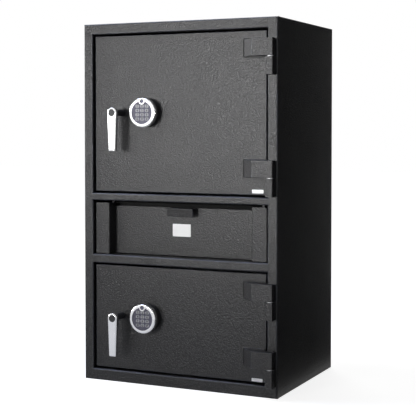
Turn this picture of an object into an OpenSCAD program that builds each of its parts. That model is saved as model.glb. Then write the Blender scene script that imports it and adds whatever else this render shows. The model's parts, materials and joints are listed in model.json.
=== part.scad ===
// Drop safe with a deposit drawer between two lockable compartments.
// X runs across the front, Y from the front to the back and Z up, in millimetres.
// The origin is the centre of the four floor anchor holes, on the underside.
// Modules draw with Y measured back from the front face, and at_front() places them.

/* [Cabinet] */
// Overall width
body_w = 585; // [540:1:680]
// Overall depth, without the hinges and handles
body_d = 435; // [420:1:520]
// Thickness of the side, roof, floor and back plates
wall_t = 4; // [3:0.5:5]
// Height of the upper door opening
upper_open_h = 443; // [420:1:520]
// Height of the drawer opening
drawer_open_h = 152; // [146:1:170]
// Height of the lower door opening
lower_open_h = 300; // [290:1:340]
// Distance between the floor anchor holes, across the width
anchor_w = 400; // [300:1:440]
// Distance between the floor anchor holes, along the depth
anchor_d = 250; // [180:1:280]
// Diameter of the floor anchor holes
anchor_hole_d = 14; // [10:0.5:18]

/* [Front frame] */
// Width of the two upright stiles
stile_w = 28; // [26:0.5:32]
// Height of the rail over the upper door
top_rail_h = 29; // [24:0.5:36]
// Height of the rail between the upper door and the drawer
upper_rail_h = 20; // [16:0.5:28]
// Height of the rail between the drawer and the lower door
lower_rail_h = 24; // [18:0.5:30]
// Height of the rail under the lower door
bottom_rail_h = 32; // [24:0.5:40]
// Sheet thickness of the folded frame
frame_t = 4; // [3:0.5:5]
// Outer bend radius of the folded frame
frame_r = 4; // [3:0.5:6]
// Depth of the folds that line the openings
jamb_d = 33; // [28:0.5:38]
// Depth of the folds that meet the cabinet plates
frame_lip = 14; // [10:0.5:20]

/* [Doors] */
// Thickness of the door plates
door_t = 10; // [8:0.5:12]
// Setback of the door plates behind the frame's face
door_recess = 7; // [5:0.5:9]
// Gap between a door plate and its opening
door_gap = 6; // [5:0.5:8]
// Diameter of the keypad's cable hole in the door plate
cable_hole_d = 10; // [6:0.5:14]

/* [Hinges] */
// Distance that the hinges stand out from the frame
hinge_proud = 30; // [27:0.5:34]
// Width of the hinge barrel and of the frame's hinge block
barrel_w = 21; // [19:0.5:23]
// Distance from the cabinet's side to the barrel
barrel_inset = 2.5; // [1:0.5:4]
// Width of the leaf's flat front
leaf_face_w = 59; // [50:1:68]
// Width of the leaf's sloping end
leaf_slope_w = 38; // [28:1:48]
// Height of the door leaf
leaf_h = 45; // [42:0.5:50]
// Height of the frame block under it
block_h = 47; // [44:0.5:52]
// Gap between the frame's face and the back of the moving barrel
barrel_lift = 8.5; // [7:0.5:10]
// Diameter of the hinge pin
pin_d = 10; // [8:0.5:12]
// Length of the pin inside the leaf
pin_in_leaf = 36; // [30:0.5:40]
// Length of the pin inside the block
pin_in_block = 40; // [34:0.5:43]
// Diameter of the pin's thrust collar
collar_d = 18; // [16:0.5:19]
// Thickness of the pin's thrust collar
collar_t = 2; // [1.5:0.25:3]
// Radial clearance of a running shaft in its bore
run_clear = 0.08; // [0.05:0.01:0.1]
// Distance from an opening's top to its upper hinge
hinge_drop = 28; // [20:1:36]
// Height of the upper door's lower hinge above the opening's sill
upper_hinge_rise = 4; // [2:0.5:10]
// Height of the lower door's lower hinge above the opening's sill
lower_hinge_rise = 0.5; // [0.5:0.5:10]

/* [Handles] */
// Distance from a door's free edge to its handle's axis
handle_edge = 84.5; // [80:0.5:90]
// Height of the upper handle above its opening's sill
upper_handle_h = 224; // [215:1:230]
// Height of the lower handle above its opening's sill
lower_handle_h = 155; // [148:1:160]
// Diameter of the lever's round head
lever_head_d = 28; // [27:0.5:32]
// Width of the lever's flat end
lever_tip_w = 20.5; // [18:0.5:24]
// Corner radius of the lever's flat end
lever_tip_r = 2; // [1:0.25:4]
// Length from the handle's axis to the end of the lever
lever_len = 105; // [90:1:115]
// Thickness of the lever
lever_t = 12; // [10:0.5:14]
// Depth of the bevel round the lever's front
lever_bevel = 2; // [1:0.25:3]
// Width of that bevel
lever_bevel_w = 3.25; // [2.5:0.25:4]
// Gap between the door and the lever
lever_standoff = 47; // [42:0.5:52]
// Diameter of the shaft in front of the door
shaft_d = 18; // [16:0.5:20]
// Diameter of the shaft's cap in the lever's head
cap_d = 20; // [19:0.5:22]
// Thickness of that cap
cap_t = 3; // [2:0.5:4]
// Diameter of the spindle through the door
spindle_d = 12; // [10:0.5:14]
// Turn of the handle that throws the bolts, in degrees
handle_turn = 60; // [55:1:70]

/* [Boltwork] */
// Diameter of the bolts
bolt_d = 20; // [16:0.5:22]
// Travel of the bolts
bolt_throw = 20; // [18.5:0.5:21]
// Distance that the drawn bolts stay behind the door's free edge
bolt_tip_back = 2; // [1:0.5:4]
// Sliding clearance round the bolts, in slots and along the drawer's rails
slide_clear = 0.3; // [0.2:0.05:0.5]
// Distance between the upper door's bolts
upper_bolt_step = 150; // [120:1:165]
// Distance from the lower handle to each of the lower door's bolts
lower_bolt_step = 85; // [70:1:95]
// Width of the bolt bar, along the depth
bar_w = 24; // [22:0.5:26]
// Thickness of the bolt bar
bar_t = 6; // [5:0.5:8]
// Thickness of the bolt bar's arm
arm_t = 5; // [4:0.5:6]
// Diameter of the crank's pin
crank_pin_d = 6; // [5:0.5:7]
// Distance from a door's edge to the boltwork box at the sides
box_inset_x = 22.5; // [20:0.5:26]
// Distance from a door's edge to the boltwork box above and below
box_inset_z = 22; // [18:0.5:26]
// Depth of the boltwork box behind the door plate
box_d = 54; // [50:0.5:58]
// Sheet thickness of the boltwork box
box_t = 2; // [1.5:0.25:3]
// Length of the fixed hinge-side bar beyond the boltwork box
dead_bar_out = 36; // [32:0.5:38]
// Thickness of the fixed hinge-side bar
dead_bar_t = 12; // [8:0.5:14]

/* [Lock] */
// Width of the lock case
lock_w = 60; // [54:0.5:66]
// Distance from the keypad's centre to the lock bolt, towards the bolts
lock_bolt_step = 16; // [14:0.5:20]
// Height of the lock case
lock_h = 84; // [76:0.5:90]
// Depth of the lock case
lock_d = 30; // [29:0.5:34]
// Width of the lock bolt
lock_bolt_w = 10; // [8:0.5:10]
// Thickness of the lock bolt
lock_bolt_t = 8; // [7:0.5:9]
// Length of the lock bolt
lock_bolt_len = 30; // [24:0.5:36]
// Travel of the lock bolt
lock_travel = 9; // [8:0.5:10]

/* [Keypads] */
// Distance from the handle's axis to the keypad's centre
keypad_step = 80; // [76:0.5:86]
// Diameter of the bright ring
ring_d = 80; // [78:0.5:86]
// Diameter of the opening in the ring
ring_bore_d = 63; // [59:0.5:64]
// Thickness of the ring in front of the housing
ring_lip_t = 3; // [2:0.25:4]
// Depth of the ring's skirt round the housing
ring_skirt = 12; // [8:0.5:16]
// Wall of the ring's skirt
ring_wall = 2; // [1.5:0.25:3]
// Distance that the keypad stands out from the door
keypad_depth = 34; // [30:0.5:38]
// Width of a key
key_w = 11.5; // [10:0.25:12]
// Height of a key
key_h = 8.5; // [7:0.25:9]
// Corner radius of a key
key_r = 3; // [1.5:0.25:3.5]
// Distance between the columns of keys
key_pitch_x = 14.5; // [13.5:0.25:15]
// Distance between the rows of keys
key_pitch_z = 11.7; // [10.5:0.1:12]
// Thickness of a key
key_t = 4; // [3.5:0.25:5]
// Distance that the keys stand out of the keypad's face
key_proud = 1.5; // [1.25:0.25:2]
// Travel of a key
key_travel = 1.2; // [0.8:0.1:1.4]
// Diameter of the lamp window in the ring
lamp_d = 11.5; // [6:0.5:12]
// Distance from the keypad's centre to the lamp
lamp_step = 31.25; // [31:0.25:33]
// Diameter of the round tab that holds the lamp
lamp_tab_d = 18; // [14:0.5:19]

/* [Drawer] */
// Setback of the drawer's front behind the frame's face
drawer_recess = 8; // [6:0.5:10]
// Gap between the drawer's front and the sides of its opening
drawer_gap_x = 4; // [3:0.5:5]
// Gap over the drawer's side flanges
drawer_gap_top = 7; // [5:0.5:9]
// Gap under the drawer's front
drawer_gap_low = 2; // [1.5:0.5:3]
// Width of the side flanges
flange_w = 44; // [40:1:48]
// Setback of the middle panel behind the flanges
panel_setback = 34; // [31:0.5:38]
// Drop of the middle panel's top below the flanges
panel_drop = 10.5; // [8:0.5:14]
// Depth of the fold along the middle panel's top
panel_fold = 7; // [5:0.5:8]
// Sheet thickness of the drawer's front
front_t = 3; // [2:0.25:4]
// Depth of the flanges' outer folds
flange_fold = 22; // [16:1:26]
// Length of the tray behind the middle panel
tray_len = 245; // [220:1:270]
// Height of the tray's sides
tray_h = 120; // [100:1:124]
// Sheet thickness of the tray
tray_t = 2.5; // [2:0.25:3]
// Gap between the chamber floor and the tray
tray_gap = 4; // [3:0.5:6]
// Height of the tray's rails
rail_h = 12; // [10:0.5:16]
// Width of the tray's rails
rail_w = 14; // [12:0.5:18]
// Height of the rails above the tray's underside
rail_rise = 12; // [10:0.5:16]
// Length of the rails behind the tray's end
rail_tail = 40; // [30:1:50]
// Sheet thickness of the fixed runners
runner_t = 2.5; // [2:0.25:3]
// Travel of the drawer
drawer_travel = 215; // [180:1:225]
// Width of the pull
pull_w = 79; // [70:1:90]
// Height of the pull's front leg
pull_h = 23; // [20:0.5:28]
// Distance that the pull stands out from the middle panel
pull_out = 28; // [25:0.5:30]
// Lean of the pull's front leg
pull_lean = 4; // [2:0.5:6]
// Sheet thickness of the pull
pull_t = 3; // [2:0.25:4]

/* [Drop chamber] */
// Diameter of the rod that carries the one-way flap
rod_d = 10; // [8:0.5:12]
// Wall of the tube that is rolled round the rod
knuckle_wall = 3; // [2:0.25:4]
// Depth of the rod behind the frame's face
rod_back = 66; // [64:0.5:72]
// Height of the rod's centre below the chamber roof
rod_drop = 27; // [24:0.5:30]
// Sheet thickness of the flap
flap_t = 2.5; // [2:0.25:3]
// Gap at each side of the flap, to the tray
flap_side_gap = 5; // [4:0.5:8]
// Gap under the flap, to the tray's floor
flap_low_gap = 3.5; // [3:0.5:5]
// Thickness of the lugs that hold the rod
lug_t = 6; // [5:0.5:8]
// Distance from the tray's sides to those lugs
lug_gap = 8; // [6:0.5:12]
// Margin of the chamber floor round the drop opening, at the sides
drop_margin_x = 64; // [60:1:70]
// Margin of the chamber floor round the drop opening, front and back
drop_margin_y = 40; // [34:1:60]

/* [Shelf] */
// Height of the shelf above the upper compartment's floor
shelf_rise = 215; // [180:1:230]
// Depth of the shelf's front edge behind the frame's face
shelf_back = 92; // [88:1:140]
// Height of the shelf's folded edges
shelf_lip = 20; // [14:0.5:26]
// Sheet thickness of the shelf
shelf_t = 2; // [1.5:0.25:3]

/* [Hidden] */
$fn = 48;
// Overlap of the cutters with what they cut
over = 1;
// Gap between flat faces that turn on each other
seat_gap = 0.1;

coat = [0.13, 0.13, 0.14];
plated = [0.72, 0.73, 0.75];
bright = [0.85, 0.86, 0.88];
black_plastic = [0.05, 0.05, 0.055];
grey_plastic = [0.55, 0.56, 0.58];

inner_w = body_w - 2 * wall_t;
open_w = body_w - 2 * stile_w;
sill_lower = bottom_rail_h;
head_lower = sill_lower + lower_open_h;
sill_drawer = head_lower + lower_rail_h;
head_drawer = sill_drawer + drawer_open_h;
sill_upper = head_drawer + upper_rail_h;
head_upper = sill_upper + upper_open_h;
body_h = head_upper + top_rail_h;
back_y = body_d - wall_t;

door_w = open_w - 2 * door_gap;
door_back = door_recess + door_t;
handle_x = handle_edge - door_w / 2;
keypad_x = handle_x + keypad_step;
keypad_front = door_recess - keypad_depth;
keypad_face = keypad_front + ring_lip_t;
housing_d = ring_d - 2 * ring_wall;

// The hinge's plan, from the cabinet's right side
barrel_x1 = body_w / 2 - barrel_inset;
barrel_x0 = barrel_x1 - barrel_w;
pin_x = (barrel_x0 + barrel_x1) / 2;
pin_y = (-hinge_proud - barrel_lift) / 2;
barrel_r = 2;
hinge_h = block_h + collar_t + seat_gap + leaf_h;

// The boltwork, from the free edge of the door
box_x = door_w / 2 - box_inset_x;
box_back = door_back + box_d;
bolt_gap_jamb = 2;
bolt_y = jamb_d + bolt_gap_jamb + bolt_d / 2;
bar_gap = 8;
bar_x = -box_x + box_t + bolt_throw + bar_gap;
bolt_x = bolt_tip_back - door_w / 2;
arm_y = 38;
arm_drop = 68;
arm_rise = 18;
strap_h = 14;
crank_gap = 0.6;
crank_t = 5;
crank_r = bolt_throw / (2 * sin(handle_turn / 2));
crank_x = crank_r * sin(handle_turn / 2);
crank_z = crank_r * cos(handle_turn / 2);
crank_play = 0.4;
spindle_end = 8;
dead_bar_gap = 5;
dead_bar_y = jamb_d + dead_bar_gap;
arm_end = 10;
bar_end = 4;

// The lock bolt drops in front of the arm's lug once the bolts are thrown
lock_bolt_x = keypad_x - lock_bolt_step;
lock_bolt_y = arm_y + arm_t / 2;
lug_w = 6;
lug_gap_x = 1;
lug_x1 = lock_bolt_x - lock_bolt_w / 2 - lug_gap_x + bolt_throw;
lug_h = 10;

// The drawer, from the sides of its opening
drawer_x = open_w / 2 - drawer_gap_x;
tray_x = drawer_x - flange_w + front_t;
panel_y = drawer_recess + panel_setback;
tray_y = panel_y + front_t;
drawer_z0 = sill_drawer + drawer_gap_low;
drawer_z1 = head_drawer - drawer_gap_top;
panel_z1 = drawer_z1 - panel_drop;
tray_z = sill_drawer + tray_gap;
rail_z = tray_z + rail_rise;
rail_x = tray_x + rail_w;
rail_end = tray_y + tray_len + rail_tail;
runner_gap = 5;
runner_tail = 15;
runner_y0 = jamb_d + runner_gap;
runner_y1 = rail_end + runner_tail;
runner_web_x = rail_x + slide_clear;
front_corner_r = 6;

roof_z = sill_upper - frame_t;
rod_z = roof_z - rod_drop;
knuckle_d = rod_d + 2 * run_clear + 2 * knuckle_wall;
flap_x = tray_x - tray_t - flap_side_gap;
flap_z0 = tray_z + tray_t + flap_low_gap;
flap_y = rod_back - knuckle_d / 2;
lug_x = tray_x + lug_gap;

// One row for each door: sill, head, handle height, bolt heights and hinge rise
UPPER = [sill_upper, head_upper, sill_upper + upper_handle_h,
    [for (k = [-1:1]) k * upper_bolt_step], upper_hinge_rise];
LOWER = [sill_lower, head_lower, sill_lower + lower_handle_h,
    [for (k = [-1, 1]) k * lower_bolt_step], lower_hinge_rise];
SILL = 0;
HEAD = 1;
AXIS = 2;
BOLTS = 3;
RISE = 4;

KEYS = ["1", "2", "3", "4", "5", "6", "7", "8", "9", "star", "0", "hash"];

// Helpers

module at_front() {
    translate([0, -body_d / 2, 0]) children();
}

// A box from one corner to the other
module block(low, high) {
    translate(low) cube(high - low);
}

// An outline of X and Z, extruded back from y0 to y1
module slab(y0, y1) {
    translate([0, y1, 0]) rotate([90, 0, 0]) linear_extrude(y1 - y0) children();
}

// An outline of Y and Z, extruded across from x0 to x1
module across(x0, x1) {
    translate([x0, 0, 0]) rotate([90, 0, 90]) linear_extrude(x1 - x0) children();
}

// A round bar along Y
module bar_y(d, y0, y1) {
    translate([0, y1, 0]) rotate([90, 0, 0]) cylinder(d = d, h = y1 - y0);
}

// A round bar along X
module bar_x(d, x0, x1) {
    translate([x0, 0, 0]) rotate([0, 90, 0]) cylinder(d = d, h = x1 - x0);
}

module round_rect(low, high, r) {
    translate([low[0] + r, low[1]]) square([high[0] - low[0] - 2 * r, high[1] - low[1]]);
    translate([low[0], low[1] + r]) square([high[0] - low[0], high[1] - low[1] - 2 * r]);
    for (a = [low[0] + r, high[0] - r], b = [low[1] + r, high[1] - r]) {
        translate([a, b]) circle(r);
    }
}

// A folded sheet: a face of width w with a fold at each end, of depths d0 and d1
module channel(w, t, r, d0, d1) {
    deep = max(d0, d1);
    difference() {
        union() {
            translate([0, r]) square([w, deep - r]);
            translate([r, 0]) square([w - 2 * r, deep]);
            for (a = [r, w - r]) translate([a, r]) circle(r);
        }
        translate([t, t]) square([w - 2 * t, deep]);
        translate([-over, d0]) square([t + 2 * over, deep]);
        translate([w - t - over, d1]) square([t + 2 * over, deep]);
    }
}

// Two round ends joined by their tangents, the second a length below the first
module link(r0, r1, length) {
    s = (r0 - r1) / length;
    c = sqrt(1 - s * s);
    circle(r0);
    translate([0, -length]) circle(r1);
    polygon([[r0 * c, -r0 * s], [-r0 * c, -r0 * s],
        [-r1 * c, -length - r1 * s], [r1 * c, -length - r1 * s]]);
}

// Cabinet

module side_walls() {
    color(coat) at_front() for (side = [0, 1]) mirror([side, 0, 0]) {
        block([inner_w / 2, frame_lip, 0], [body_w / 2, body_d, body_h]);
    }
}

module roof_plate() {
    color(coat) at_front()
        block([-inner_w / 2, frame_lip, body_h - wall_t], [inner_w / 2, back_y, body_h]);
}

module floor_plate() {
    color(coat) difference() {
        at_front() block([-inner_w / 2, frame_lip, 0], [inner_w / 2, back_y, wall_t]);
        for (a = [-1, 1], b = [-1, 1]) {
            translate([a * anchor_w / 2, b * anchor_d / 2, -over])
                cylinder(d = anchor_hole_d, h = wall_t + 2 * over);
        }
    }
}

module back_plate() {
    color(coat) at_front() block([-inner_w / 2, back_y, 0], [inner_w / 2, body_d, body_h]);
}

// A rail between the stiles, reaching out from the middle to x
module rail(x, z, h, d0, d1) {
    across(-x, x) translate([0, z]) mirror([1, -1]) channel(h, frame_t, frame_r, d0, d1);
}

module front_frame() {
    outer_x = body_w / 2 - frame_t;
    inner_x = open_w / 2 + frame_t;
    color(coat) at_front() difference() {
        intersection() {
            union() {
                for (side = [0, 1]) mirror([side, 0, 0]) {
                    translate([-body_w / 2, 0, 0]) linear_extrude(body_h)
                        channel(stile_w, frame_t, frame_r, frame_lip, jamb_d);
                }
                rail(outer_x, 0, bottom_rail_h, frame_lip, jamb_d);
                rail(inner_x, head_lower, lower_rail_h, jamb_d, jamb_d);
                rail(inner_x, head_drawer, upper_rail_h, jamb_d, jamb_d);
                rail(outer_x, head_upper, top_rail_h, jamb_d, frame_lip);
            }
            across(-body_w / 2 - over, body_w / 2 + over)
                round_rect([0, 0], [2 * jamb_d, body_h], frame_r);
        }
        // Room for the floor and roof plates behind the lips
        for (z = [-over, body_h - wall_t]) {
            block([-body_w / 2, frame_lip, z], [body_w / 2, 2 * jamb_d, z + wall_t + over]);
        }
    }
}

// The upper compartment's floor, with two lugs under it for the flap's rod
module chamber_roof() {
    lug_r = rod_d;
    color(coat) at_front() {
        block([-inner_w / 2, jamb_d, roof_z], [inner_w / 2, back_y, sill_upper]);
        for (side = [0, 1]) mirror([side, 0, 0]) across(lug_x, lug_x + lug_t) difference() {
            union() {
                translate([rod_back - lug_r, rod_z]) square([2 * lug_r, rod_drop]);
                translate([rod_back, rod_z]) circle(lug_r);
            }
            translate([rod_back, rod_z]) circle(d = rod_d);
        }
    }
}

module chamber_floor() {
    hole_x = inner_w / 2 - drop_margin_x;
    color(coat) at_front() difference() {
        block([-inner_w / 2, jamb_d, sill_drawer - frame_t], [inner_w / 2, back_y, sill_drawer]);
        block([-hole_x, jamb_d + drop_margin_y, sill_drawer - frame_t - over],
            [hole_x, back_y - drop_margin_y, sill_drawer + over]);
    }
}

// Channels that the tray's rails run in, each held off the wall by two brackets
module drawer_runners() {
    bracket_t = 3;
    bracket_len = 40;
    bracket_z = rail_z + (rail_h - bracket_t) / 2;
    z0 = rail_z - slide_clear;
    z1 = rail_z + rail_h + slide_clear;
    color(plated) at_front() for (side = [0, 1]) mirror([side, 0, 0]) {
        block([runner_web_x, runner_y0, z0 - runner_t],
            [runner_web_x + runner_t, runner_y1, z1 + runner_t]);
        for (z = [z0 - runner_t, z1]) {
            block([tray_x + 2, runner_y0, z], [runner_web_x, runner_y1, z + runner_t]);
        }
        for (y = [runner_y0 + bracket_len, runner_y1 - 2 * bracket_len]) {
            block([runner_web_x + runner_t, y, bracket_z],
                [inner_w / 2, y + bracket_len, bracket_z + bracket_t]);
        }
    }
}

module shelf() {
    z = sill_upper + shelf_rise;
    y1 = back_y - 6;
    color(coat) at_front() difference() {
        block([-inner_w / 2, shelf_back, z - shelf_lip], [inner_w / 2, y1, z]);
        block([-inner_w / 2 + shelf_t, shelf_back + shelf_t, z - shelf_lip - over],
            [inner_w / 2 - shelf_t, y1 + over, z - shelf_t]);
    }
}

// Hinges

function hinge_feet(d) = [d[SILL] + d[RISE], d[HEAD] - hinge_drop - hinge_h];

module each_hinge(doors) {
    for (d = doors, z = hinge_feet(d)) translate([0, 0, z]) children();
}

module hinge_blocks() {
    color(coat) at_front() each_hinge([UPPER, LOWER]) difference() {
        linear_extrude(block_h)
            round_rect([barrel_x0, -hinge_proud], [barrel_x1, 0], barrel_r);
        translate([pin_x, pin_y, block_h - pin_in_block])
            cylinder(d = pin_d, h = pin_in_block + over);
    }
}

module hinge_pins() {
    color(bright) at_front() each_hinge([UPPER, LOWER]) translate([pin_x, pin_y, block_h]) {
        translate([0, 0, -pin_in_block])
            cylinder(d = pin_d, h = pin_in_block + collar_t + seat_gap + pin_in_leaf);
        cylinder(d = collar_d, h = collar_t);
    }
}

// A bar across the door's edge, sloping down to the door, with the pin's bore
module hinge_leaves(d) {
    bore_d = pin_d + 2 * run_clear;
    bore_len = pin_in_leaf + 1;
    x1 = barrel_x1 - leaf_face_w;
    x0 = x1 - leaf_slope_w;
    z = block_h + collar_t + seat_gap;
    color(coat) at_front() each_hinge([d]) translate([0, 0, z]) difference() {
        linear_extrude(leaf_h) {
            polygon([[x0, door_recess], [x1, -hinge_proud], [barrel_x0 + barrel_r, -hinge_proud],
                [barrel_x0 + barrel_r, -barrel_lift], [door_w / 2, -barrel_lift],
                [door_w / 2, door_recess]]);
            round_rect([barrel_x0, -hinge_proud], [barrel_x1, -barrel_lift], barrel_r);
        }
        translate([pin_x, pin_y, -over]) cylinder(d = bore_d, h = bore_len + over);
    }
}

// Doors

module door_plate(d) {
    color(coat) at_front() difference() {
        block([-door_w / 2, door_recess, d[SILL] + door_gap],
            [door_w / 2, door_back, d[HEAD] - door_gap]);
        translate([handle_x, 0, d[AXIS]])
            bar_y(spindle_d + 2 * run_clear, door_recess - over, door_back + over);
        translate([keypad_x, 0, d[AXIS]])
            bar_y(cable_hole_d, door_recess - over, door_back + over);
    }
}

// A folded sheet box over the boltwork, with a fixed bar on the hinge side
module boltwork_box(d) {
    z0 = d[SILL] + door_gap + box_inset_z;
    z1 = d[HEAD] - door_gap - box_inset_z;
    bar_margin = 20;
    color(plated) at_front() {
        difference() {
            block([-box_x, door_back, z0], [box_x, box_back, z1]);
            block([-box_x + box_t, door_back - over, z0 + box_t],
                [box_x - box_t, box_back - box_t, z1 - box_t]);
            for (z = d[BOLTS]) translate([0, bolt_y, d[AXIS] + z])
                bar_x(bolt_d + 2 * slide_clear, -box_x - over, -box_x + box_t + over);
        }
        block([box_x, dead_bar_y, z0 + bar_margin],
            [box_x + dead_bar_out, dead_bar_y + dead_bar_t, z1 - bar_margin]);
    }
}

// Bolts on an upright bar, with an arm that the crank's pin drives
module bolt_bar(d) {
    reach = max(d[BOLTS]) + bolt_d / 2 + bar_end;
    arm_x1 = handle_x + bolt_throw + spindle_d / 2 + arm_end;
    slot_r = spindle_d / 2 + crank_play;
    pin_r = crank_pin_d / 2 + crank_play;
    lug_z = d[AXIS] - arm_drop + strap_h;
    color(plated) at_front() {
        block([bar_x, bolt_y - bar_w / 2, d[AXIS] - reach],
            [bar_x + bar_t, bolt_y + bar_w / 2, d[AXIS] + reach]);
        for (z = d[BOLTS]) translate([0, bolt_y, d[AXIS] + z]) bar_x(bolt_d, bolt_x, bar_x);
        slab(arm_y, arm_y + arm_t) difference() {
            union() {
                translate([bar_x + bar_t, d[AXIS] - arm_drop])
                    square([arm_x1 - bar_x - bar_t, arm_drop + arm_rise]);
                translate([arm_x1, d[AXIS] - arm_drop])
                    square([lug_x1 + 2 - arm_x1, strap_h]);
                translate([lug_x1 - lug_w, lug_z]) square([lug_w, lug_h]);
            }
            translate([handle_x, d[AXIS]]) {
                circle(slot_r);
                translate([bolt_throw, 0]) circle(slot_r);
                translate([0, -slot_r]) square([bolt_throw, 2 * slot_r]);
            }
            translate([handle_x + crank_x, d[AXIS]]) {
                for (z = [-crank_z, -crank_r]) translate([0, z]) circle(pin_r);
                translate([-pin_r, -crank_r]) square([2 * pin_r, crank_r - crank_z]);
            }
        }
    }
}

module lock_case(d) {
    z = d[AXIS] - lock_h / 2;
    half_w = lock_bolt_w / 2 + slide_clear;
    half_t = lock_bolt_t / 2 + slide_clear;
    color(plated) at_front() difference() {
        block([keypad_x - lock_w / 2, door_back, z],
            [keypad_x + lock_w / 2, door_back + lock_d, z + lock_h]);
        block([lock_bolt_x - half_w, lock_bolt_y - half_t, z - over],
            [lock_bolt_x + half_w, lock_bolt_y + half_t, z + lock_bolt_len + slide_clear]);
    }
}

module lock_bolt(d) {
    z = d[AXIS] - lock_h / 2;
    color("goldenrod") at_front()
        block([lock_bolt_x - lock_bolt_w / 2, lock_bolt_y - lock_bolt_t / 2, z],
            [lock_bolt_x + lock_bolt_w / 2, lock_bolt_y + lock_bolt_t / 2, z + lock_bolt_len]);
}

// Handles

module lever(d) {
    y1 = door_recess - lever_standoff;
    y0 = y1 - lever_t;
    color(bright) at_front() translate([handle_x, 0, d[AXIS]]) difference() {
        hull() {
            slab(y0 + lever_bevel, y1) lever_ends(0, lever_tip_r, $fn = 32);
            slab(y0, y1) lever_ends(lever_bevel_w, 0.5, $fn = 32);
        }
        bar_y(shaft_d, y0 - over, y1 + over);
        bar_y(cap_d, y0 - over, y0 + cap_t);
    }
}

// The lever's head and the two corners of its flat end, drawn in by an inset
module lever_ends(inset, corner_r) {
    circle(lever_head_d / 2 - inset);
    for (side = [-1, 1]) {
        translate([side * (lever_tip_w / 2 - inset - corner_r), inset + corner_r - lever_len])
            circle(corner_r);
    }
}

// The handle's shaft, with its cap in front and a crank and pin behind the door
module spindle(d) {
    y0 = door_recess - lever_standoff - lever_t;
    crank_y = arm_y - crank_gap - crank_t;
    eye_r = 11;
    color(black_plastic) at_front() translate([handle_x, 0, d[AXIS]]) {
        bar_y(cap_d, y0, y0 + cap_t);
        bar_y(shaft_d, y0, door_recess - slide_clear);
        bar_y(spindle_d, door_recess - slide_clear, arm_y + arm_t + spindle_end);
        slab(crank_y, crank_y + crank_t)
            rotate(handle_turn / 2) link(eye_r, crank_pin_d, crank_r);
        translate([crank_x, 0, -crank_z]) bar_y(crank_pin_d, crank_y, arm_y + arm_t + 2);
    }
}

// Keypads

function key_x(k) = keypad_x + (k % 3 - 1) * key_pitch_x;
function key_z(d, k) = d[AXIS] + (1.5 - floor(k / 3)) * key_pitch_z;

module keypad_housing(d) {
    pocket = key_t - key_proud + key_travel + slide_clear;
    plate = pocket + 3;
    wall = 4;
    c = slide_clear;
    color(black_plastic) at_front() difference() {
        translate([keypad_x, 0, d[AXIS]]) difference() {
            bar_y(housing_d, keypad_face, door_recess);
            bar_y(housing_d - 2 * wall, keypad_face + plate, door_recess + over);
        }
        for (k = [0:len(KEYS) - 1]) translate([key_x(k), 0, key_z(d, k)])
            slab(keypad_face - over, keypad_face + pocket)
                round_rect([-key_w / 2 - c, -key_h / 2 - c], [key_w / 2 + c, key_h / 2 + c],
                    key_r + c);
    }
}

// The ring's lip and skirt turned round the housing, with a tab for the lamp
module keypad_ring(d) {
    edge_r = 4;
    r0 = ring_bore_d / 2;
    r1 = ring_d / 2;
    color(bright) at_front() translate([keypad_x, 0, d[AXIS]]) difference() {
        union() {
            translate([0, keypad_face, 0]) rotate([90, 0, 0]) rotate_extrude($fn = 96) {
                translate([r0, 0]) square([r1 - edge_r - r0, ring_lip_t]);
                intersection() {
                    translate([r1 - edge_r, ring_lip_t - edge_r]) circle(edge_r);
                    translate([r1 - edge_r, 0]) square([edge_r, ring_lip_t]);
                }
                translate([r1 - ring_wall, -ring_skirt]) square([ring_wall, ring_skirt]);
            }
            slab(keypad_front, keypad_face) intersection() {
                translate([0, lamp_step]) circle(d = lamp_tab_d);
                circle(r1 - edge_r);
            }
        }
        translate([0, 0, lamp_step]) bar_y(lamp_d, keypad_front - over, keypad_face + over);
    }
}

module key(d, k) {
    color(grey_plastic) at_front() translate([key_x(k), 0, key_z(d, k)])
        slab(keypad_face - key_proud, keypad_face - key_proud + key_t)
            round_rect([-key_w / 2, -key_h / 2], [key_w / 2, key_h / 2], key_r);
}

// Drawer

// Two folded flanges and the middle panel set back between them
module drawer_front() {
    color(coat) at_front() {
        intersection() {
            for (side = [0, 1]) mirror([side, 0, 0])
                translate([-drawer_x, drawer_recess, drawer_z0])
                    linear_extrude(drawer_z1 - drawer_z0)
                        channel(flange_w, front_t, front_t, flange_fold, panel_setback + front_t);
            slab(0, 2 * tray_y)
                round_rect([-drawer_x, drawer_z0], [drawer_x, drawer_z1], front_corner_r);
        }
        block([-tray_x, panel_y, drawer_z0], [tray_x, tray_y, panel_z1]);
        block([-tray_x, panel_y, panel_z1 - front_t], [tray_x, tray_y + panel_fold, panel_z1]);
    }
}

// Floor and sides, open behind, with a rail along each side
module drawer_tray() {
    y1 = tray_y + tray_len;
    color(plated) at_front() {
        block([-tray_x, tray_y, tray_z], [tray_x, y1, tray_z + tray_t]);
        for (side = [0, 1]) mirror([side, 0, 0]) {
            block([tray_x - tray_t, tray_y, tray_z], [tray_x, y1, tray_z + tray_h]);
            block([tray_x, tray_y + 2, rail_z], [rail_x, rail_end, rail_z + rail_h]);
        }
    }
}

module drawer_pull() {
    y0 = panel_y - pull_out;
    color(coat) at_front() across(-pull_w / 2, pull_w / 2)
        polygon([[panel_y, panel_z1], [y0, panel_z1], [y0 + pull_lean, panel_z1 - pull_h],
            [y0 + pull_lean + pull_t, panel_z1 - pull_h], [y0 + pull_t, panel_z1 - pull_t],
            [panel_y, panel_z1 - pull_t]]);
}

// Drop chamber

module flap_rod() {
    color(bright) at_front() translate([0, rod_back, rod_z])
        bar_x(rod_d, -lug_x - lug_t, lug_x + lug_t);
}

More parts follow.
